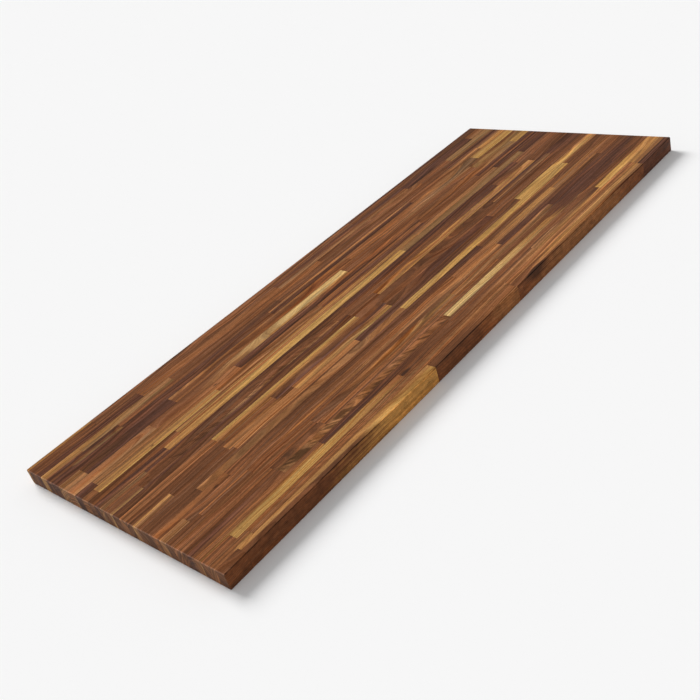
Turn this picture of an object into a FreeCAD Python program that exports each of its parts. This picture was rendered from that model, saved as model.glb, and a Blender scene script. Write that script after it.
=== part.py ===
import FreeCAD, Part
import os

# Butcher block countertop: a flat slab edge-glued from random-length walnut staves.
# X runs along the grain from the near end (-X) to the far end (+X), Y across the rows and Z up.
# The origin is the middle of the underside. All sizes are in millimetres.

# The slab as it comes off the sander
board_length = 1651.0
board_width = 635.0
board_thickness = 38.0
edge_radius = 2.0          # every outer arris and corner is eased to this radius

# Glue film where two staves of a row meet end to end. The rows themselves are clamped tight.
end_joint = 0.15

# Cutting list, from the +Y edge of the slab: each row's ripped width, then its staves' lengths
# from the near end. The last stave of a row and the last row are trimmed to the slab.
rows = [
    (27, [170, 886, 600]),
    (30, [283, 453, 528, 318, 75]),
    (24, [95, 260, 516, 429, 140, 220]),
    (22, [188, 503, 704, 260]),
    (22, [641, 555, 330, 130]),
    (32, [54, 244, 605, 564, 190]),
    (29, [217, 634, 562, 240]),
    (23, [42, 405, 672, 461, 75]),
    (22, [30, 336, 338, 402, 262, 290]),
    (21, [228, 821, 373, 235]),
    (20, [181, 792, 548, 135]),
    (20, [113, 605, 740, 200]),
    (21, [79, 589, 659, 185, 145]),
    (22, [695, 95, 686, 180]),
    (21, [242, 453, 546, 280, 135]),
    (21, [248, 146, 369, 474, 420]),
    (21, [92, 143, 203, 320, 416, 480]),
    (21, [244, 377, 647, 390]),
    (19, [126, 632, 715, 185]),
    (20, [182, 856, 352, 265]),
    (19, [59, 844, 438, 315]),
    (20, [81, 125, 852, 481, 115]),
    (20, [368, 472, 419, 400]),
    (20, [230, 142, 625, 660]),
    (19, [233, 530, 737, 155]),
    (18, [325, 424, 479, 430]),
    (19, [70, 482, 509, 300, 295]),
    (20, [92, 820, 588, 155]),
    (25, [54, 546, 307, 590, 160]),
]


def cut_points(sizes, total):
    """Where the pieces end when the sizes are laid in turn, over and over, up to a total.

    A last piece so small that the easing would round it away stays on the one before it.
    """
    ends = []
    reached = 0.0
    while reached < total:
        reached += sizes[len(ends) % len(sizes)]
        ends.append(reached)
    ends[-1] = total
    if len(ends) > 1 and total - ends[-2] < 2 * edge_radius:
        del ends[-2]
    return ends


def eased_slab():
    """The whole slab with its twelve outer arrises rounded over."""
    block = Part.makeBox(
        board_length, board_width, board_thickness,
        FreeCAD.Vector(-board_length / 2, -board_width / 2, 0))
    return block.makeFillet(edge_radius, block.Edges)


def stave(slab, start, end, outer_side, inner_side):
    """One stave of the slab, from start to end along X and between two rip lines in Y."""
    blank = Part.makeBox(
        end - start, outer_side - inner_side, board_thickness,
        FreeCAD.Vector(start, inner_side, 0))
    return slab.common(blank).Solids[0]


def stave_row(slab, lengths, outer_side, inner_side):
    """The staves of one row, end to end with the glue film between them."""
    ends = cut_points(lengths, board_length)
    starts = [0.0] + [end + end_joint for end in ends[:-1]]
    return Part.makeCompound([
        stave(slab, start - board_length / 2, end - board_length / 2, outer_side, inner_side)
        for start, end in zip(starts, ends)])


os.makedirs("parts", exist_ok=True)
slab = eased_slab()
rip_lines = [board_width / 2 - line
             for line in cut_points([width for width, _ in rows], board_width)]
outer_sides = [board_width / 2] + rip_lines[:-1]
for number, (outer_side, inner_side) in enumerate(zip(outer_sides, rip_lines), start=1):
    lengths = rows[(number - 1) % len(rows)][1]
    row = stave_row(slab, lengths, outer_side, inner_side)
    row.exportStep("parts/stave_row_%02d.step" % number)
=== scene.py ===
import math

import bpy
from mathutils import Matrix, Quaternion, Vector


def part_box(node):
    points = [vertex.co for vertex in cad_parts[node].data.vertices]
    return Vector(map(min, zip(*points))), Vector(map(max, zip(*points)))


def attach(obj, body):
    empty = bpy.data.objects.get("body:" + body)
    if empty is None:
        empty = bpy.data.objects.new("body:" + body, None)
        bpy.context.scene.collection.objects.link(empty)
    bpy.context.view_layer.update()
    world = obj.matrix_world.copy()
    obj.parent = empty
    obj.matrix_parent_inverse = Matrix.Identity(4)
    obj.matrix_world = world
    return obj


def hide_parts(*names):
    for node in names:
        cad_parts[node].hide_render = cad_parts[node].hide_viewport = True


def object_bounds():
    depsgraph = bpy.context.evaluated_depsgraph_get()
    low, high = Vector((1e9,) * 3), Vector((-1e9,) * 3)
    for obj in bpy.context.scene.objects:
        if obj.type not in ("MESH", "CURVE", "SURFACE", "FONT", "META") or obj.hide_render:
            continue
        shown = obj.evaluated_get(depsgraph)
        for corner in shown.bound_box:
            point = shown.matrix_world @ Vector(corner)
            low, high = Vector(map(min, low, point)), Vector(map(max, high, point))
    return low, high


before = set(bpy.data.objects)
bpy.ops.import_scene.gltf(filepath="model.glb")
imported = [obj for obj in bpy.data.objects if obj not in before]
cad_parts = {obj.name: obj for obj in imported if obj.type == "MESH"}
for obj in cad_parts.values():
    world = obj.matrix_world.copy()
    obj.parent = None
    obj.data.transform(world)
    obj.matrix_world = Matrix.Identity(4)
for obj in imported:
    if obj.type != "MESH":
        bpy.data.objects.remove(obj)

cad_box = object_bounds()

# Staves
#
# The slab is sticks of solid walnut as thick as the slab, butted end to end in rows, edge-glued
# under clamps, then sanded flush. Only the slab's outer arrises are eased, by 2 mm.

slab_low, slab_high = (Vector(corner) for corner in cad_box)
slab_size = slab_high - slab_low
arris_radius = 0.002
arris_steps = 4

# Walnut runs from near-black heartwood to cream sapwood, and a board of random staves has it all.
tones = {
    "cream": "#d2ad72",
    "gold": "#c09253",
    "honey": "#b07d49",
    "amber": "#a67045",
    "tan": "#976842",
    "olive": "#916b45",
    "russet": "#905c38",
    "brown": "#805235",
    "walnut": "#73492f",
    "dark": "#633f2f",
    "black": "#4f3224",
}


def linear(hex_colour):
    """An sRGB hex colour as linear red, green, blue and alpha."""
    values = [int(hex_colour[i:i + 2], 16) / 255 for i in (1, 3, 5)]
    return [v / 12.92 if v <= 0.04045 else ((v + 0.055) / 1.055) ** 2.4 for v in values] + [1.0]


def stick(heart, far=None, fade=(0.0, 1.0), strips=(), streak=1.0, curl=0.1, knot=None):
    """How one stave looks.

    heart is its tone, far the tone that it turns to between the two places in fade, as parts of
    its length. strips are up to two bands of another tone: from and to as parts of its width,
    counted from the slab's +Y side, and, where a band doesn't run the whole stave, the part of
    the length where it begins. streak is how strong the dark and light streaks are, curl how
    strongly the grain ripples, and knot a dark knot: its place along and across, and its radius
    in metres.
    """
    look = {
        "heart": linear(tones[heart]),
        "far": linear(tones[far or heart]),
        "fade place": (*fade, 0.0),
        "figure": (streak, curl, 0.0),
        "knot": knot or (0.5, 0.5, 0.0),
    }
    # A band at a side or an end runs out past it, so that its wavy edge leaves no gap there
    well_past = 2.0
    no_strip = (heart, well_past, well_past)
    for number in (0, 1):
        tone, start, end, *begin = strips[number] if number < len(strips) else no_strip
        look[f"strip {number}"] = linear(tones[tone])
        look[f"strip {number} place"] = (
            start or -well_past, end if end < 1.0 else well_past,
            begin[0] if begin else -well_past)
    return look


# The staves as they lie in the slab: row by row from the +Y edge, each from the near end.
rows = [
    [stick("walnut", strips=[("honey", 0, 0.3)]), stick("brown", streak=1.3),
     stick("walnut", strips=[("dark", 0, 0.4)])],
    [stick("dark", strips=[("walnut", 0, 0.35)]), stick("brown", strips=[("russet", 0.4, 1)]),
     stick("brown", strips=[("dark", 0, 0.3), ("tan", 0.65, 1)]),
     stick("dark", strips=[("black", 0.65, 1)]), stick("russet", strips=[("tan", 0.5, 1)])],
    [stick("honey", strips=[("brown", 0.7, 1)], streak=0.7),
     stick("honey", "tan", fade=(0.3, 0.8), strips=[("olive", 0.65, 1)], streak=0.7),
     stick("brown", "russet", fade=(0.3, 0.8)),
     stick("walnut", "russet", fade=(0.4, 1), strips=[("russet", 0.65, 1)]),
     stick("brown"), stick("olive", strips=[("honey", 0.7, 1)], streak=0.8)],
    [stick("dark", strips=[("brown", 0.4, 0.7), ("olive", 0.7, 1, 0.3)]),
     stick("brown", "walnut", strips=[("dark", 0.7, 1)]), stick("brown", "walnut"),
     stick("dark", strips=[("brown", 0, 0.3)])],
    [stick("dark", "walnut", fade=(0.4, 0.9)),
     stick("dark", strips=[("amber", 0, 0.36), ("black", 0.7, 1)]),
     stick("brown", "tan", fade=(0.3, 0.9)), stick("honey", strips=[("tan", 0, 0.3)])],
    [stick("tan"), stick("walnut", "dark", fade=(0.2, 0.6), strips=[("dark", 0.65, 1)]),
     stick("brown", strips=[("amber", 0, 0.25), ("russet", 0.7, 1)]),
     stick("russet", "tan", fade=(0.4, 1), streak=1.2),
     stick("gold", strips=[("honey", 0, 0.3)], streak=0.6)],
    [stick("russet", strips=[("tan", 0.65, 1)]),
     stick("brown", "cream", fade=(0.2, 0.8), strips=[("honey", 0.75, 1, 0.5)], streak=0.7),
     stick("brown", strips=[("tan", 0, 0.35, 0.4)]),
     stick("honey", strips=[("russet", 0, 0.3)])],
    [stick("dark"), stick("tan", "russet", fade=(0.4, 0.7), knot=(0.83, 0.46, 0.003)),
     stick("dark", "brown", fade=(0.3, 0.8), strips=[("russet", 0, 0.3, 0.3), ("black", 0.7, 1)]),
     stick("russet", "olive", fade=(0.5, 0.9)), stick("gold", streak=0.6)],
    [stick("russet"),
     stick("honey", strips=[("gold", 0.7, 1)], streak=0.7, knot=(0.43, 0.6, 0.002)),
     stick("russet", strips=[("tan", 0.65, 1)]),
     stick("brown", strips=[("russet", 0, 0.35), ("dark", 0.68, 1)]),
     stick("brown", strips=[("walnut", 0.65, 1)]), stick("dark", strips=[("brown", 0.7, 1)])],
    [stick("brown", strips=[("walnut", 0, 0.35)]),
     stick("honey", strips=[("brown", 0, 0.25), ("tan", 0.65, 1)]),
     stick("tan", strips=[("walnut", 0, 0.35)]),
     stick("dark", strips=[("black", 0, 0.3), ("walnut", 0.65, 1)])],
    [stick("dark", strips=[("brown", 0.6, 1)]),
     stick("honey", "gold", fade=(0.1, 0.4), streak=0.6), stick("olive", streak=0.7),
     stick("dark")],
    [stick("brown", strips=[("tan", 0, 0.45), ("walnut", 0.7, 1)]),
     stick("walnut", "brown", fade=(0.5, 1), strips=[("dark", 0, 0.35)]),
     stick("dark", streak=1.2), stick("brown")],
    [stick("brown", strips=[("honey", 0.72, 1)]),
     stick("walnut", "brown", strips=[("tan", 0.7, 1, 0.5)], curl=0.5),
     stick("brown", "dark", fade=(0.6, 1)), stick("brown"), stick("walnut")],
    [stick("walnut", strips=[("dark", 0, 0.35)]), stick("brown", strips=[("russet", 0.7, 1)]),
     stick("honey", strips=[("amber", 0.35, 0.7)]), stick("walnut")],
    [stick("russet"), stick("honey", strips=[("gold", 0, 0.35), ("tan", 0.7, 1)], streak=0.8),
     stick("brown", "walnut", fade=(0.1, 0.3)),
     stick("walnut", strips=[("dark", 0, 0.35), ("tan", 0.68, 1)]),
     stick("dark", "black", fade=(0, 0.5))],
    [stick("walnut"), stick("brown", strips=[("tan", 0, 0.35), ("walnut", 0.7, 1)]),
     stick("walnut", strips=[("dark", 0.6, 1)]), stick("walnut", "brown", fade=(0, 0.4)),
     stick("walnut", "dark", fade=(0.5, 1))],
    [stick("tan", strips=[("honey", 0, 0.35), ("brown", 0.7, 1)]), stick("walnut"),
     stick("amber", strips=[("walnut", 0, 0.4, 0.6)]),
     stick("honey", strips=[("russet", 0, 0.3), ("gold", 0.7, 1, 0.5)], streak=0.8),
     stick("walnut", "dark", fade=(0.1, 0.4)), stick("brown", strips=[("walnut", 0, 0.35, 0.4)])],
    [stick("brown"), stick("amber", strips=[("brown", 0.7, 1)]),
     stick("dark", "walnut", fade=(0, 0.6)),
     stick("gold", "honey", fade=(0.6, 1), strips=[("tan", 0, 0.3, 0.5)], streak=0.7)],
    [stick("walnut"), stick("tan"), stick("gold", streak=0.7),
     stick("walnut", strips=[("tan", 0, 0.35)])],
    [stick("russet", strips=[("walnut", 0.7, 1)], knot=(0.81, 0.75, 0.0025)),
     stick("walnut", "dark", fade=(0.5, 1)), stick("walnut", strips=[("russet", 0, 0.35)]),
     stick("walnut", strips=[("brown", 0, 0.3)])],
    [stick("tan"), stick("brown", "russet"), stick("russet", "honey", fade=(0.2, 0.8)),
     stick("tan", "russet", fade=(0.4, 1), strips=[("brown", 0.7, 1, 0.4)])],
    [stick("walnut"), stick("brown", strips=[("russet", 0, 0.35)]),
     stick("brown", "amber", fade=(0.4, 1), strips=[("amber", 0, 0.35, 0.2)]),
     stick("dark", "walnut", fade=(0.3, 0.7), strips=[("tan", 0, 0.33)]),
     stick("brown", strips=[("russet", 0, 0.35)])],
    [stick("brown", "walnut", fade=(0.6, 1), strips=[("russet", 0, 0.35)]),
     stick("brown", "tan", fade=(0, 0.5), strips=[("honey", 0.35, 0.65, 0.5)]),
     stick("tan", strips=[("brown", 0, 0.35), ("dark", 0, 0.35, 0.55)], streak=1.3),
     stick("dark", "walnut", fade=(0.4, 1))],
    [stick("walnut", strips=[("russet", 0, 0.35)]),
     stick("brown", "walnut", fade=(0.3, 0.7), strips=[("walnut", 0, 0.3), ("russet", 0.65, 1)]),
     stick("russet", strips=[("brown", 0.65, 1)], curl=0.25, streak=1.2),
     stick("walnut", strips=[("tan", 0, 0.3), ("dark", 0, 1, 0.4)])],
    [stick("dark", "walnut", fade=(0.4, 1), strips=[("brown", 0.65, 1)]),
     stick("tan", "russet", curl=0.9),
     stick("cream", "honey", fade=(0.15, 0.5), strips=[("dark", 0, 1, 0.64)], streak=0.7),
     stick("dark", "walnut", fade=(0.3, 0.8))],
    [stick("russet", "brown", fade=(0.5, 1), strips=[("honey", 0.7, 1)]),
     stick("dark", "brown", fade=(0.2, 0.8)), stick("brown"),
     stick("brown", "walnut", fade=(0.6, 1))],
    [stick("brown"), stick("gold", "russet", fade=(0.6, 0.95), streak=0.6),
     stick("brown", "amber", fade=(0.4, 1), strips=[("brown", 0, 0.35, 0.4)],
           knot=(0.02, 0.5, 0.006)),
     stick("tan", "dark", fade=(0.6, 1), strips=[("walnut", 0, 0.3, 0.4), ("honey", 0.7, 1)]),
     stick("gold", "honey", fade=(0.5, 0.8), streak=0.6)],
    [stick("russet", strips=[("honey", 0.7, 1, 0.6)]),
     stick("russet", strips=[("tan", 0.35, 0.65, 0.5)], curl=0.25),
     stick("russet", "brown", fade=(0.7, 0.9), strips=[("amber", 0, 0.3, 0.1), ("amber", 0.7, 1)]),
     stick("tan", strips=[("honey", 0, 0.65)], streak=0.7)],
    [stick("walnut"),
     stick("walnut", "gold", fade=(0.3, 0.65), strips=[("honey", 0, 0.4)], streak=0.8),
     stick("walnut", "russet", fade=(0.5, 0.8), strips=[("tan", 0.92, 1, 0.8)], streak=0.8),
     stick("brown", "tan", fade=(0.1, 0.25), streak=0.8,
           strips=[("honey", 0, 0.5, 0.2), ("brown", 0.93, 1, 0.75)], knot=(0.13, 1.0, 0.012)),
     stick("dark", strips=[("tan", 0, 0.28), ("black", 0.3, 0.45)])],
]


def add(tree, kind, settings=None, inputs=None):
    """Adds a node with its settings, and its inputs as values or as sockets to link."""
    node = tree.nodes.new(kind)
    for name, value in (settings or {}).items():
        setattr(node, name, value)
    for name, value in (inputs or {}).items():
        if isinstance(value, bpy.types.NodeSocket):
            tree.links.new(value, node.inputs[name])
        else:
            node.inputs[name].default_value = value
    return node


# Oiled walnut, planed and sanded fine: a satin skin over a grain that follows the tree's growth
# rings, so the long faces show streaks and flames and the ends show arcs.
walnut = bpy.data.materials.new("oiled walnut")
walnut.use_nodes = True
tree = walnut.node_tree
tree.nodes.clear()

# Where the point is on its own stave, along (0 to 1) and across (0 to 1)
place = add(tree, "ShaderNodeTexCoord")
point = add(tree, "ShaderNodeSeparateXYZ", inputs={"Vector": place.outputs["Object"]})
face = add(tree, "ShaderNodeSeparateXYZ", inputs={"Vector": place.outputs["Normal"]})
marks = {
    name: add(tree, "ShaderNodeAttribute", {"attribute_name": name})
    for name in ("span", "sides", "pith", "lean", "heart", "far", "strip 0", "strip 0 place",
                 "strip 1", "strip 1 place", "fade place", "figure", "knot")
}
span, sides, fade_place, figure, knot = (
    add(tree, "ShaderNodeSeparateXYZ", inputs={"Vector": marks[name].outputs["Vector"]})
    for name in ("span", "sides", "fade place", "figure", "knot"))
along = add(tree, "ShaderNodeMapRange", {"clamp": False}, {
    "Value": point.outputs["X"], "From Min": span.outputs["X"], "From Max": span.outputs["Y"]})
across = add(tree, "ShaderNodeMapRange", {"clamp": False}, {
    "Value": point.outputs["Y"], "From Min": sides.outputs["X"], "From Max": sides.outputs["Y"]})

# The grain leans a little across the stave, and wanders by up to 8 mm every 300 mm along it
wander_length = 0.3
wander_width = 0.15
wander_depth = 0.03
lean_length = add(tree, "ShaderNodeMath", {"operation": "SUBTRACT"}, {
    0: point.outputs["X"], 1: span.outputs["X"]})
leaned = add(tree, "ShaderNodeVectorMath", {"operation": "SCALE"}, {
    0: marks["lean"].outputs["Vector"], "Scale": lean_length.outputs[0]})
upright = add(tree, "ShaderNodeVectorMath", {"operation": "ADD"}, {
    0: leaned.outputs[0], 1: place.outputs["Object"]})
wander_place = add(tree, "ShaderNodeVectorMath", {"operation": "MULTIPLY"}, {
    0: place.outputs["Object"], 1: (1 / wander_length, 1 / wander_width, 1 / wander_width)})
wander = add(tree, "ShaderNodeTexNoise", {"noise_dimensions": "4D"}, {
    "Vector": wander_place.outputs[0], "W": span.outputs["Z"], "Scale": 1.0, "Detail": 2.0})
wander_centred = add(tree, "ShaderNodeVectorMath", {"operation": "SUBTRACT"}, {
    0: wander.outputs["Color"], 1: (0.5, 0.5, 0.5)})
grain = add(tree, "ShaderNodeVectorMath", {"operation": "MULTIPLY_ADD"}, {
    0: wander_centred.outputs[0], 1: (0.0, wander_depth, wander_depth), 2: upright.outputs[0]})

# Growth rings about the heart of the tree, which lay somewhere below or beside the stave. They
# are 3.5 mm wide, and the latewood at the end of each is darker.
ring_width = 0.0035
latewood_depth = 0.4
from_pith = add(tree, "ShaderNodeVectorMath", {"operation": "SUBTRACT"}, {
    0: grain.outputs[0], 1: marks["pith"].outputs["Vector"]})
in_section = add(tree, "ShaderNodeVectorMath", {"operation": "MULTIPLY"}, {
    0: from_pith.outputs[0], 1: (0.0, 1.0, 1.0)})
radius = add(tree, "ShaderNodeVectorMath", {"operation": "LENGTH"}, {0: in_section.outputs[0]})
ring_count = add(tree, "ShaderNodeMath", {"operation": "DIVIDE"}, {
    0: radius.outputs["Value"], 1: ring_width})
ring_phase = add(tree, "ShaderNodeMath", {"operation": "FRACT"}, {0: ring_count.outputs[0]})
latewood = add(tree, "ShaderNodeMapRange", {"interpolation_type": "SMOOTHSTEP"}, {
    "Value": ring_phase.outputs[0], "From Min": 0.5, "From Max": 0.95,
    "To Max": latewood_depth})

# Pigment lies in bands that follow the rings: 1 to 6 mm wide, and they change over 500 mm.
# A band's strength is a power of two, and the planed front edge shows the bands more weakly.
band_width = 0.005
band_length = 0.5
band_strength = 6.3
front_band_strength = 2.7
band_place = add(tree, "ShaderNodeCombineXYZ", inputs={
    "X": point.outputs["X"], "Y": radius.outputs["Value"]})
band_scaled = add(tree, "ShaderNodeVectorMath", {"operation": "MULTIPLY"}, {
    0: band_place.outputs[0], 1: (1 / band_length, 1 / band_width, 0.0)})
pigment = add(tree, "ShaderNodeTexNoise", {"noise_dimensions": "4D"}, {
    "Vector": band_scaled.outputs[0], "W": span.outputs["Z"], "Scale": 1.0, "Detail": 4.0,
    "Roughness": 0.7})
pigment_centred = add(tree, "ShaderNodeMath", {"operation": "SUBTRACT"}, {
    0: pigment.outputs["Fac"], 1: 0.5})
front_edge = add(tree, "ShaderNodeMath", {"operation": "MULTIPLY", "use_clamp": True}, {
    0: face.outputs["Y"], 1: -1.0})
calmed = add(tree, "ShaderNodeMath", {"operation": "MULTIPLY_ADD"}, {
    0: front_edge.outputs[0], 1: front_band_strength - band_strength, 2: band_strength})
pigment_depth = add(tree, "ShaderNodeMath", {"operation": "MULTIPLY"}, {
    0: figure.outputs["X"], 1: calmed.outputs[0]})
band_power = add(tree, "ShaderNodeMath", {"operation": "MULTIPLY"}, {
    0: pigment_centred.outputs[0], 1: pigment_depth.outputs[0]})
band_light = add(tree, "ShaderNodeMath", {"operation": "POWER"}, {
    0: 2.0, 1: band_power.outputs[0]})

# A few dark veins, 1 to 3 mm wide, at least 5 mm apart and up to 600 mm long
vein_length = 0.6
vein_pitch = 0.005
vein_depth = 0.85
vein_place = add(tree, "ShaderNodeVectorMath", {"operation": "MULTIPLY"}, {
    0: band_place.outputs[0], 1: (1 / vein_length, 1 / vein_pitch, 0.0)})
veins = add(tree, "ShaderNodeTexNoise", {"noise_dimensions": "4D"}, {
    "Vector": vein_place.outputs[0], "W": span.outputs["Z"], "Scale": 1.0, "Detail": 1.0})
vein_dark = add(tree, "ShaderNodeMapRange", {"interpolation_type": "SMOOTHSTEP"}, {
    "Value": veins.outputs["Color"], "From Min": 0.6, "From Max": 0.7, "To Max": vein_depth})

# Fibres and open pores. Single fibres are too fine to show, so they are drawn as bundles of
# 1.1 x 33 mm, and pores, 0.2 mm wide in the real wood, are drawn 0.4 mm wide so that they show.
bundles_along_metre = 30.0
bundles_across_metre = 900.0
fibre_contrast = 0.18
pore_length = 0.00625
pore_width = 0.0004
pore_depth = 0.5
fibre_place = add(tree, "ShaderNodeVectorMath", {"operation": "MULTIPLY"}, {
    0: grain.outputs[0],
    1: (bundles_along_metre, bundles_across_metre, bundles_across_metre)})
fibres = add(tree, "ShaderNodeTexNoise", {}, {
    "Vector": fibre_place.outputs[0], "Scale": 1.0, "Detail": 2.0, "Roughness": 0.6})
fibre_light = add(tree, "ShaderNodeMapRange", {}, {
    "Value": fibres.outputs["Fac"], "From Min": 0.3, "From Max": 0.7,
    "To Min": 1 - fibre_contrast, "To Max": 1 + fibre_contrast})
pore_place = add(tree, "ShaderNodeVectorMath", {"operation": "MULTIPLY"}, {
    0: grain.outputs[0], 1: (1 / pore_length, 1 / pore_width, 1 / pore_width)})
pores = add(tree, "ShaderNodeTexNoise", {}, {
    "Vector": pore_place.outputs[0], "Scale": 1.0, "Detail": 0.0})
pore_dark = add(tree, "ShaderNodeMapRange", {"interpolation_type": "SMOOTHSTEP"}, {
    "Value": pores.outputs["Fac"], "From Min": 0.6, "From Max": 0.72, "To Max": pore_depth})

# Curl: slanted ripples about 27 mm apart, faint on most staves and like feathers on a few. A
# ripple is one light and one dark patch of the noise.
curl_pitch = 0.027
curl_slant = 1.1
curl_patches_across_metre = 35.0
slanted = add(tree, "ShaderNodeMath", {"operation": "MULTIPLY_ADD"}, {
    0: point.outputs["Y"], 1: curl_slant, 2: point.outputs["X"]})
curl_place = add(tree, "ShaderNodeCombineXYZ", inputs={
    "X": slanted.outputs[0], "Y": point.outputs["Y"], "Z": point.outputs["Z"]})
curl_scaled = add(tree, "ShaderNodeVectorMath", {"operation": "MULTIPLY"}, {
    0: curl_place.outputs[0],
    1: (2 / curl_pitch, curl_patches_across_metre, curl_patches_across_metre)})
ripple = add(tree, "ShaderNodeTexNoise", {"noise_dimensions": "4D"}, {
    "Vector": curl_scaled.outputs[0], "W": span.outputs["Z"], "Scale": 1.0, "Detail": 2.0,
    "Roughness": 0.5, "Distortion": 0.6})
feather = add(tree, "ShaderNodeMapRange", {"interpolation_type": "SMOOTHSTEP"}, {
    "Value": ripple.outputs["Fac"], "From Min": 0.44, "From Max": 0.62, "To Min": 0.15,
    "To Max": -0.6})
curl_light = add(tree, "ShaderNodeMath", {"operation": "MULTIPLY_ADD"}, {
    0: feather.outputs[0], 1: figure.outputs["Y"], 2: 1.0})

# The planed front edge shows soft blotches, 22 x 11 mm, where the top shows streaks
blotches_along_metre = 45.0
blotches_across_metre = 90.0
blotch_contrast = 0.3
blotch_place = add(tree, "ShaderNodeVectorMath", {"operation": "MULTIPLY"}, {
    0: grain.outputs[0],
    1: (blotches_along_metre, blotches_across_metre, blotches_across_metre)})
blotches = add(tree, "ShaderNodeTexNoise", {}, {
    "Vector": blotch_place.outputs[0], "Scale": 1.0, "Detail": 3.0, "Roughness": 0.6})
blotch_tone = add(tree, "ShaderNodeMapRange", {}, {
    "Value": blotches.outputs["Fac"], "From Min": 0.3, "From Max": 0.7,
    "To Min": -blotch_contrast, "To Max": blotch_contrast})
blotch_light = add(tree, "ShaderNodeMath", {"operation": "MULTIPLY_ADD"}, {
    0: blotch_tone.outputs[0], 1: front_edge.outputs[0], 2: 1.0})

# The stave's own tones: its heart, strips of other tones in it, and a far end that turns. Their
# edges waver with the grain, by parts of the stave's width, and are soft over an eighth of it. A
# Mix node's two colours are its inputs 6 and 7, and what it makes of them is its output 2.
coarse_waver = 0.6
fine_waver = 0.5
waver_along = 1.5
strip_softness = 0.06
wander_aside = add(tree, "ShaderNodeSeparateXYZ", inputs={"Vector": wander_centred.outputs[0]})
fine_wave = add(tree, "ShaderNodeMath", {"operation": "MULTIPLY"}, {
    0: pigment_centred.outputs[0], 1: fine_waver})
wave = add(tree, "ShaderNodeMath", {"operation": "MULTIPLY_ADD"}, {
    0: wander_aside.outputs["Y"], 1: coarse_waver, 2: fine_wave.outputs[0]})
across_waved = add(tree, "ShaderNodeMath", {"operation": "ADD"}, {
    0: across.outputs[0], 1: wave.outputs[0]})
along_waved = add(tree, "ShaderNodeMath", {"operation": "MULTIPLY_ADD"}, {
    0: wave.outputs[0], 1: waver_along, 2: along.outputs[0]})
fade_amount = add(tree, "ShaderNodeMapRange", {"interpolation_type": "SMOOTHSTEP"}, {
    "Value": along_waved.outputs[0], "From Min": fade_place.outputs["X"],
    "From Max": fade_place.outputs["Y"]})
faded = add(tree, "ShaderNodeMix", {"data_type": "RGBA"}, {
    0: fade_amount.outputs[0], 6: marks["heart"].outputs["Color"],
    7: marks["far"].outputs["Color"]})
tone = faded.outputs[2]
for number in (0, 1):
    strip_place = add(tree, "ShaderNodeSeparateXYZ", inputs={
        "Vector": marks[f"strip {number} place"].outputs["Vector"]})
    into_strip = add(tree, "ShaderNodeMath", {"operation": "SUBTRACT"}, {
        0: across_waved.outputs[0], 1: strip_place.outputs["X"]})
    out_of_strip = add(tree, "ShaderNodeMath", {"operation": "SUBTRACT"}, {
        0: strip_place.outputs["Y"], 1: across_waved.outputs[0]})
    beyond_start = add(tree, "ShaderNodeMath", {"operation": "SUBTRACT"}, {
        0: along_waved.outputs[0], 1: strip_place.outputs["Z"]})
    between_sides = add(tree, "ShaderNodeMath", {"operation": "MINIMUM"}, {
        0: into_strip.outputs[0], 1: out_of_strip.outputs[0]})
    inside_strip = add(tree, "ShaderNodeMath", {"operation": "MINIMUM"}, {
        0: between_sides.outputs[0], 1: beyond_start.outputs[0]})
    strip_amount = add(tree, "ShaderNodeMapRange", {"interpolation_type": "SMOOTHSTEP"}, {
        "Value": inside_strip.outputs[0], "From Min": -strip_softness,
        "From Max": strip_softness})
    with_strip = add(tree, "ShaderNodeMix", {"data_type": "RGBA"}, {
        0: strip_amount.outputs[0], 6: tone, 7: marks[f"strip {number}"].outputs["Color"]})
    tone = with_strip.outputs[2]

# Light and dark of the grain over the tone. The bands also turn its hue: where one is redder and
# yellower, the next is cooler. Veins, latewood and pores are dark browns laid over that.
hue_turn = (0.7, -0.2, -1.6)
vein_brown = linear("#a88f80")
pore_brown = linear("#6a5546")
light_one = add(tree, "ShaderNodeMath", {"operation": "MULTIPLY"}, {
    0: band_light.outputs[0], 1: fibre_light.outputs[0]})
light_two = add(tree, "ShaderNodeMath", {"operation": "MULTIPLY"}, {
    0: light_one.outputs[0], 1: curl_light.outputs[0]})
light_all = add(tree, "ShaderNodeMath", {"operation": "MULTIPLY"}, {
    0: light_two.outputs[0], 1: blotch_light.outputs[0]})
lit = add(tree, "ShaderNodeVectorMath", {"operation": "SCALE"}, {
    0: tone, "Scale": light_all.outputs[0]})
hue = add(tree, "ShaderNodeSeparateColor", inputs={0: pigment.outputs["Color"]})
hue_centred = add(tree, "ShaderNodeMath", {"operation": "SUBTRACT"}, {
    0: hue.outputs["Green"], 1: 0.5})
hue_depth = add(tree, "ShaderNodeMath", {"operation": "MULTIPLY"}, {
    0: hue_centred.outputs[0], 1: figure.outputs["X"]})
hue_shift = add(tree, "ShaderNodeVectorMath", {"operation": "MULTIPLY_ADD"}, {
    0: hue_depth.outputs[0], 1: hue_turn, 2: (1.0, 1.0, 1.0)})
tinted = add(tree, "ShaderNodeVectorMath", {"operation": "MULTIPLY"}, {
    0: lit.outputs[0], 1: hue_shift.outputs[0]})
veined = add(tree, "ShaderNodeMix", {"data_type": "RGBA", "blend_type": "MULTIPLY"}, {
    0: vein_dark.outputs[0], 6: tinted.outputs[0], 7: vein_brown})
ringed = add(tree, "ShaderNodeMix", {"data_type": "RGBA", "blend_type": "MULTIPLY"}, {
    0: latewood.outputs[0], 6: veined.outputs[2], 7: vein_brown})
pored = add(tree, "ShaderNodeMix", {"data_type": "RGBA", "blend_type": "MULTIPLY"}, {
    0: pore_dark.outputs[0], 6: ringed.outputs[2], 7: pore_brown})

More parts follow.
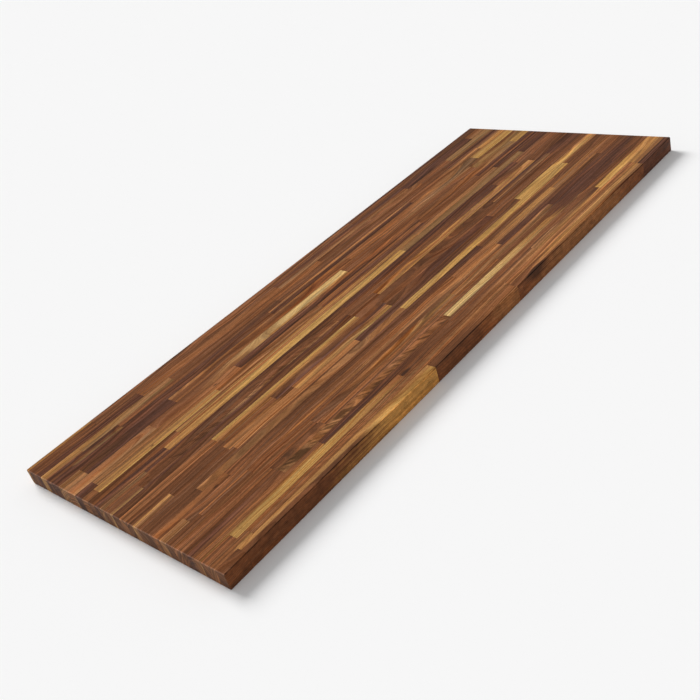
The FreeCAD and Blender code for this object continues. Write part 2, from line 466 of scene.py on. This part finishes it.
# Small dark knots in the top, three times as long as wide, with a rim that the bands make ragged
knot_brown = linear("#35241c")
knot_squeeze = (0.35, 1.0, 0.5)
knot_raggedness = 2.5
knot_depth = 0.75
no_knot = 0.00001
knot_x = add(tree, "ShaderNodeMapRange", {"clamp": False}, {
    "Value": knot.outputs["X"], "To Min": span.outputs["X"], "To Max": span.outputs["Y"]})
knot_y = add(tree, "ShaderNodeMapRange", {"clamp": False}, {
    "Value": knot.outputs["Y"], "To Min": sides.outputs["X"], "To Max": sides.outputs["Y"]})
knot_centre = add(tree, "ShaderNodeCombineXYZ", inputs={
    "X": knot_x.outputs[0], "Y": knot_y.outputs[0], "Z": slab_high.z})
from_knot = add(tree, "ShaderNodeVectorMath", {"operation": "SUBTRACT"}, {
    0: place.outputs["Object"], 1: knot_centre.outputs[0]})
knot_oval = add(tree, "ShaderNodeVectorMath", {"operation": "MULTIPLY"}, {
    0: from_knot.outputs[0], 1: knot_squeeze})
knot_distance = add(tree, "ShaderNodeVectorMath", {"operation": "LENGTH"}, {
    0: knot_oval.outputs[0]})
knot_radius = add(tree, "ShaderNodeMath", {"operation": "MAXIMUM"}, {
    0: knot.outputs["Z"], 1: no_knot})
knot_reach = add(tree, "ShaderNodeMath", {"operation": "DIVIDE"}, {
    0: knot_distance.outputs["Value"], 1: knot_radius.outputs[0]})
knot_ragged = add(tree, "ShaderNodeMath", {"operation": "MULTIPLY_ADD"}, {
    0: pigment_centred.outputs[0], 1: knot_raggedness, 2: knot_reach.outputs[0]})
knot_amount = add(tree, "ShaderNodeMapRange", {"interpolation_type": "SMOOTHSTEP"}, {
    "Value": knot_ragged.outputs[0], "From Min": 1.4, "From Max": 0.4, "To Max": knot_depth})
knotted = add(tree, "ShaderNodeMix", {"data_type": "RGBA"}, {
    0: knot_amount.outputs[0], 6: pored.outputs[2], 7: knot_brown})

# End grain is greyer than the top, and painted warm light makes the planed front edge redder
end_grain_tint = (0.88, 0.96, 1.02)
front_painted_warm_light = (0.99, 0.85, 0.69)
end_grain = add(tree, "ShaderNodeMath", {"operation": "ABSOLUTE"}, {0: face.outputs["X"]})
greyed = add(tree, "ShaderNodeVectorMath", {"operation": "MULTIPLY"}, {
    0: knotted.outputs[2], 1: end_grain_tint})
ended = add(tree, "ShaderNodeMix", {"data_type": "RGBA"}, {
    0: end_grain.outputs[0], 6: knotted.outputs[2], 7: greyed.outputs[0]})
front_painted_warmth = add(tree, "ShaderNodeVectorMath", {"operation": "MULTIPLY"}, {
    0: ended.outputs[2], 1: front_painted_warm_light})
with_front_painted_warmth = add(tree, "ShaderNodeMix", {"data_type": "RGBA"}, {
    0: front_edge.outputs[0], 6: ended.outputs[2], 7: front_painted_warmth.outputs[0]})
# The eased arris above that edge gets painted light as a thin line: painted shade that darkens
# the dark staves to a fifth at most, and a painted highlight that brightens the pale ones.
painted_arris_shade = 0.2
painted_arris_highlight = 1.9
upward = add(tree, "ShaderNodeMapRange", {"interpolation_type": "SMOOTHSTEP"}, {
    "Value": face.outputs["Z"], "From Min": 0.0, "From Max": 0.2})
forward = add(tree, "ShaderNodeMapRange", {"interpolation_type": "SMOOTHSTEP"}, {
    "Value": front_edge.outputs[0], "From Min": 0.1, "From Max": 0.4})
front_arris = add(tree, "ShaderNodeMath", {"operation": "MULTIPLY"}, {
    0: forward.outputs[0], 1: upward.outputs[0]})
edge_lightness = add(tree, "ShaderNodeVectorMath", {"operation": "DOT_PRODUCT"}, {
    0: ended.outputs[2], 1: (0.33, 0.33, 0.33)})
painted_arris_light_factor = add(tree, "ShaderNodeMapRange", {}, {
    "Value": edge_lightness.outputs["Value"], "From Min": 0.03, "From Max": 0.3,
    "To Min": painted_arris_shade, "To Max": painted_arris_highlight})
arris_painted_light_and_shade = add(tree, "ShaderNodeVectorMath", {"operation": "SCALE"}, {
    0: with_front_painted_warmth.outputs[2], "Scale": painted_arris_light_factor.outputs[0]})
with_arris_painted_light = add(tree, "ShaderNodeMix", {"data_type": "RGBA"}, {
    0: front_arris.outputs[0], 6: with_front_painted_warmth.outputs[2], 7: arris_painted_light_and_shade.outputs[0]})
# The arrises over the end grain get a painted highlight, as a thin pale line
end_arris_highlight_gain = 1.5
end_arris_highlight_lift = 0.04
into_arris = add(tree, "ShaderNodeMapRange", {"interpolation_type": "SMOOTHSTEP"}, {
    "Value": end_grain.outputs[0], "From Min": 0.1, "From Max": 0.4})
top_arris = add(tree, "ShaderNodeMath", {"operation": "MULTIPLY"}, {
    0: into_arris.outputs[0], 1: upward.outputs[0]})
end_arris_painted_highlight = add(tree, "ShaderNodeVectorMath", {"operation": "MULTIPLY_ADD"}, {
    0: with_arris_painted_light.outputs[2], 1: [end_arris_highlight_gain] * 3, 2: [end_arris_highlight_lift] * 3})
with_end_arris_highlight = add(tree, "ShaderNodeMix", {"data_type": "RGBA"}, {
    0: top_arris.outputs[0], 6: with_arris_painted_light.outputs[2], 7: end_arris_painted_highlight.outputs[0]})
# The glue line is a fine dark line along each side, but not on the slab's own long edges. Real
# ones are 0.1 mm wide, and here it takes 2 % of the stave's width, 0.4 mm, so that it shows.
glue_brown = linear("#3a281f")
glue_strength = 0.75
off_centre = add(tree, "ShaderNodeMath", {"operation": "SUBTRACT"}, {
    0: across.outputs[0], 1: 0.5})
to_side = add(tree, "ShaderNodeMath", {"operation": "ABSOLUTE"}, {0: off_centre.outputs[0]})
glue = add(tree, "ShaderNodeMapRange", {"interpolation_type": "SMOOTHSTEP"}, {
    "Value": to_side.outputs[0], "From Min": 0.48, "From Max": 0.492,
    "To Max": glue_strength})
long_edge = add(tree, "ShaderNodeMath", {"operation": "ABSOLUTE"}, {0: face.outputs["Y"]})
not_long_edge = add(tree, "ShaderNodeMath", {"operation": "SUBTRACT", "use_clamp": True}, {
    0: 1.0, 1: long_edge.outputs[0]})
glue_amount = add(tree, "ShaderNodeMath", {"operation": "MULTIPLY"}, {
    0: glue.outputs[0], 1: not_long_edge.outputs[0]})
glued = add(tree, "ShaderNodeMix", {"data_type": "RGBA"}, {
    0: glue_amount.outputs[0], 6: with_end_arris_highlight.outputs[2], 7: glue_brown})

# Rubbed-in oil leaves the wood nearly matt, with far less shine than a film of lacquer has. The
# fibres stand proud by some hundredths of a millimetre, and break the sheen.
smoothest = 0.6
roughest = 0.7
oil_ior = 1.5
oil_shine = 0.1
fibre_height = 0.0001
sheen = add(tree, "ShaderNodeMapRange", {}, {
    "Value": fibres.outputs["Fac"], "From Min": 0.3, "From Max": 0.7,
    "To Min": smoothest, "To Max": roughest})
relief = add(tree, "ShaderNodeMath", {"operation": "SUBTRACT"}, {
    0: fibres.outputs["Fac"], 1: pore_dark.outputs[0]})
grain_relief = add(tree, "ShaderNodeBump", {}, {
    "Height": relief.outputs[0], "Strength": 0.3, "Distance": fibre_height})
skin = add(tree, "ShaderNodeBsdfPrincipled", {}, {
    "Base Color": glued.outputs[2], "Roughness": sheen.outputs[0], "IOR": oil_ior,
    "Specular IOR Level": oil_shine, "Normal": grain_relief.outputs[0]})
add(tree, "ShaderNodeOutputMaterial", inputs={"Surface": skin.outputs[0]})

# The row maker: each point is one stave, and carries where it starts and ends. It becomes a box
# between the row's two sides, and the edges on the slab's outer arrises are marked for easing.
row_maker = bpy.data.node_groups.new("Stave row", "GeometryNodeTree")
row_maker.is_modifier = True
for name, kind in (("Staves", "Geometry"), ("Outer side", "Float"), ("Inner side", "Float"),
                   ("Slab size", "Vector"), ("Seed", "Int"), ("Wood", "Material")):
    row_maker.interface.new_socket(name, in_out="INPUT", socket_type="NodeSocket" + kind)
row_maker.interface.new_socket("Row", in_out="OUTPUT", socket_type="NodeSocketGeometry")
given = add(row_maker, "NodeGroupInput").outputs
size = add(row_maker, "ShaderNodeSeparateXYZ", inputs={"Vector": given["Slab size"]})
stave_ends = add(row_maker, "GeometryNodeInputNamedAttribute", {"data_type": "FLOAT_VECTOR"},
                 {"Name": "span"})
ends = add(row_maker, "ShaderNodeSeparateXYZ", inputs={"Vector": stave_ends.outputs[0]})
length = add(row_maker, "ShaderNodeMath", {"operation": "SUBTRACT"}, {
    0: ends.outputs["Y"], 1: ends.outputs["X"]})
width = add(row_maker, "ShaderNodeMath", {"operation": "SUBTRACT"}, {
    0: given["Outer side"], 1: given["Inner side"]})
stave_size = add(row_maker, "ShaderNodeCombineXYZ", inputs={
    "X": length.outputs[0], "Y": width.outputs[0], "Z": size.outputs["Z"]})
start_corner = add(row_maker, "ShaderNodeCombineXYZ", inputs={
    "X": ends.outputs["X"], "Y": given["Inner side"]})
stave_centre = add(row_maker, "ShaderNodeVectorMath", {"operation": "MULTIPLY_ADD"}, {
    0: stave_size.outputs[0], 1: (0.5, 0.5, 0.5), 2: start_corner.outputs[0]})
set_out = add(row_maker, "GeometryNodeSetPosition", inputs={
    "Geometry": given["Staves"], "Position": stave_centre.outputs[0]})
# The heart of the stave's tree, up to 120 mm aside of it and 10 to 90 mm below its middle
pith_aside = add(row_maker, "FunctionNodeRandomValue", {"data_type": "FLOAT_VECTOR"}, {
    "Min": (0.0, -0.12, -0.09), "Max": (0.0, 0.12, -0.01), "Seed": given["Seed"]})
pith_place = add(row_maker, "ShaderNodeVectorMath", {"operation": "ADD"}, {
    0: pith_aside.outputs[0], 1: stave_centre.outputs[0]})
with_pith = add(row_maker, "GeometryNodeStoreNamedAttribute", {"data_type": "FLOAT_VECTOR"}, {
    "Geometry": set_out.outputs[0], "Name": "pith", "Value": pith_place.outputs[0]})
# How far the grain leans off the stave's length: 20 mm in a metre at most. The seed for it lies
# between this row's and the next row's.
most_lean = 0.02
lean_seed = add(row_maker, "ShaderNodeMath", {"operation": "ADD"}, {0: given["Seed"], 1: 5.0})
lean = add(row_maker, "FunctionNodeRandomValue", {"data_type": "FLOAT_VECTOR"}, {
    "Min": (0.0, -most_lean, -most_lean), "Max": (0.0, most_lean, most_lean),
    "Seed": lean_seed.outputs[0]})
with_lean = add(row_maker, "GeometryNodeStoreNamedAttribute", {"data_type": "FLOAT_VECTOR"}, {
    "Geometry": with_pith.outputs[0], "Name": "lean", "Value": lean.outputs[0]})
blank = add(row_maker, "GeometryNodeMeshCube", inputs={"Size": (1.0, 1.0, 1.0)})
laid = add(row_maker, "GeometryNodeInstanceOnPoints", inputs={
    "Points": with_lean.outputs[0], "Instance": blank.outputs["Mesh"],
    "Scale": stave_size.outputs[0]})
real_staves = add(row_maker, "GeometryNodeRealizeInstances", inputs={
    "Geometry": laid.outputs[0]})
# An edge is an outer arris where it lies on two of the slab's own faces
edge_place = add(row_maker, "GeometryNodeInputPosition")
from_middle = add(row_maker, "ShaderNodeVectorMath", {"operation": "MULTIPLY_ADD"}, {
    0: given["Slab size"], 1: (0.0, 0.0, -0.5), 2: edge_place.outputs[0]})
to_middle = add(row_maker, "ShaderNodeVectorMath", {"operation": "ABSOLUTE"}, {
    0: from_middle.outputs[0]})
outside_by = add(row_maker, "ShaderNodeVectorMath", {"operation": "MULTIPLY_ADD"}, {
    0: given["Slab size"], 1: (-0.5, -0.5, -0.5), 2: to_middle.outputs[0]})
outside = add(row_maker, "ShaderNodeSeparateXYZ", inputs={"Vector": outside_by.outputs[0]})
face_tolerance = 0.0001
on_face = [
    add(row_maker, "ShaderNodeMath", {"operation": "GREATER_THAN"}, {
        0: outside.outputs[axis], 1: -face_tolerance})
    for axis in ("X", "Y", "Z")]
two_faces = add(row_maker, "ShaderNodeMath", {"operation": "ADD"}, {
    0: on_face[0].outputs[0], 1: on_face[1].outputs[0]})
face_count = add(row_maker, "ShaderNodeMath", {"operation": "ADD"}, {
    0: two_faces.outputs[0], 1: on_face[2].outputs[0]})
outer_arris = add(row_maker, "ShaderNodeMath", {"operation": "GREATER_THAN"}, {
    0: face_count.outputs[0], 1: 1.5})
marked = add(row_maker, "GeometryNodeStoreNamedAttribute", {"domain": "EDGE"}, {
    "Geometry": real_staves.outputs[0], "Name": "bevel_weight_edge",
    "Value": outer_arris.outputs[0]})
wooden = add(row_maker, "GeometryNodeSetMaterial", inputs={
    "Geometry": marked.outputs[0], "Material": given["Wood"]})
add(row_maker, "NodeGroupOutput", inputs={"Row": wooden.outputs[0]})
row_inputs = {item.name: item.identifier for item in row_maker.interface.items_tree
              if item.in_out == "INPUT"}


def stave_spans(cad_row):
    """Where each stave of a CAD row starts and ends along X: the stretches that its faces cover."""
    vertices = cad_row.data.vertices
    faces = sorted(
        (min(vertices[v].co.x for v in face.vertices), max(vertices[v].co.x for v in face.vertices))
        for face in cad_row.data.polygons)
    spans = [list(faces[0])]
    for start, end in faces[1:]:
        if start <= spans[-1][1]:
            spans[-1][1] = max(spans[-1][1], end)
        else:
            spans.append([start, end])
    return spans


def lay_row(name, looks, seed):
    """One row of staves as a plain mesh, between the sides and ends of its CAD row."""
    low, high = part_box(name)
    spans = stave_spans(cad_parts[name])
    mesh = bpy.data.meshes.new(name)
    mesh.from_pydata([(0.0, 0.0, 0.0)] * len(spans), [], [])
    marks = [dict(look, span=(*span, seed + number), sides=(high[1], low[1], 0.0))
             for number, (look, span) in enumerate(zip(looks, spans))]
    for mark in marks[0]:
        colour = len(marks[0][mark]) == 4
        kind, field = ("FLOAT_COLOR", "color") if colour else ("FLOAT_VECTOR", "vector")
        values = mesh.attributes.new(mark, kind, "POINT").data
        for value, stave in zip(values, marks):
            setattr(value, field, stave[mark])
    row = bpy.data.objects.new("walnut_" + name, mesh)
    bpy.context.scene.collection.objects.link(row)
    making = row.modifiers.new("Staves", "NODES")
    making.node_group = row_maker
    for key, value in (("Outer side", high[1]), ("Inner side", low[1]), ("Slab size", slab_size),
                       ("Seed", seed), ("Wood", walnut)):
        making[row_inputs[key]] = value
    easing = row.modifiers.new("Eased arrises", "BEVEL")
    easing.limit_method = "WEIGHT"
    easing.width = arris_radius
    easing.segments = arris_steps
    easing.harden_normals = True
    finished = bpy.data.meshes.new_from_object(
        row.evaluated_get(bpy.context.evaluated_depsgraph_get()))
    row.modifiers.clear()
    row.data = finished
    return row


# Each row's seeds start ten after the last row's, so that no two staves share one
seed_step = 10
for number, looks in enumerate(rows, start=1):
    name = f"stave_row_{number:02d}"
    row = lay_row(name, looks, seed=seed_step * number)
    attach(row, "root")
    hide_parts(name)

# Floor
#
# A matt white studio floor that the slab lies on, wide enough to fill every view.

floor_size = 80.0
floor_grey = linear("#f7f7f7")
matt_white = bpy.data.materials.new("matt white floor")
matt_white.use_nodes = True
tree = matt_white.node_tree
tree.nodes.clear()
floor_skin = add(tree, "ShaderNodeBsdfDiffuse", inputs={"Color": floor_grey})
add(tree, "ShaderNodeOutputMaterial", inputs={"Surface": floor_skin.outputs[0]})
half = floor_size / 2
floor_mesh = bpy.data.meshes.new("floor")
floor_mesh.from_pydata(
    [(-half, -half, 0), (half, -half, 0), (half, half, 0), (-half, half, 0)], [], [(0, 1, 2, 3)])
floor_mesh.materials.append(matt_white)
floor = bpy.data.objects.new("floor", floor_mesh)
bpy.context.scene.collection.objects.link(floor)

# Light
#
# A large soft lamp beyond the slab's back edge, a weak one before its front, and an even room.
# Together they give a level at which a colour renders as it is written, and soft shadows.


def soft_lamp(name, level, height, bearing, spread):
    """A distant lamp. level is what it adds to a flat floor, bearing is counted from +Y to -X."""
    lamp = bpy.data.lights.new(name, "SUN")
    lamp.energy = level * math.pi / math.sin(height)
    lamp.angle = spread
    lamp_object = bpy.data.objects.new(name, lamp)
    towards_lamp = Vector((
        -math.sin(bearing) * math.cos(height), math.cos(bearing) * math.cos(height),
        math.sin(height)))
    lamp_object.rotation_mode = "QUATERNION"
    lamp_object.rotation_quaternion = towards_lamp.to_track_quat("Z", "Y")
    bpy.context.scene.collection.objects.link(lamp_object)
    return lamp_object


back_lamp = soft_lamp(
    "back lamp", level=0.56, height=math.radians(35), bearing=math.radians(-9.5),
    spread=math.radians(30))
# It is screened so that it throws no glare off the oil
back_lamp.visible_glossy = False
soft_lamp(
    "front lamp", level=0.07, height=math.radians(30), bearing=math.radians(146),
    spread=math.radians(60))

# The room's white walls are seen at the floor's white, and light the slab at their own level.
# No piece is of metal or glass, so only camera rays need to see them so.
room_level = 0.37
room = bpy.data.worlds.new("white room")
bpy.context.scene.world = room
room.use_nodes = True
tree = room.node_tree
tree.nodes.clear()
seen = add(tree, "ShaderNodeLightPath")
room_light = add(tree, "ShaderNodeBackground", inputs={
    "Color": (1.0, 1.0, 1.0, 1.0), "Strength": room_level})
room_seen = add(tree, "ShaderNodeBackground", inputs={"Color": floor_grey, "Strength": 1.0})
room_mix = add(tree, "ShaderNodeMixShader", inputs={
    0: seen.outputs["Is Camera Ray"], 1: room_light.outputs[0], 2: room_seen.outputs[0]})
add(tree, "ShaderNodeOutputWorld", inputs={"Surface": room_mix.outputs[0]})

# Camera
#
# It stands off the near left corner, looks down along the slab and is tilted to one side.

camera_place = Vector((-1.333, -1.410, 1.099))
camera_aim = Vector((-0.2388, -0.0975, 0.038))
camera_tilt = math.radians(-17.89)
lens = bpy.data.cameras.new("camera")
lens.lens = 48.62
lens.sensor_width = 36.0
camera = bpy.data.objects.new("camera", lens)
camera.location = camera_place
camera.rotation_mode = "QUATERNION"
camera.rotation_quaternion = (
    (camera_aim - camera_place).to_track_quat("-Z", "Y")
    @ Quaternion((0.0, 0.0, 1.0), camera_tilt))
bpy.context.scene.collection.objects.link(camera)
bpy.context.scene.camera = camera
bpy.context.scene.view_settings.view_transform = "Standard"
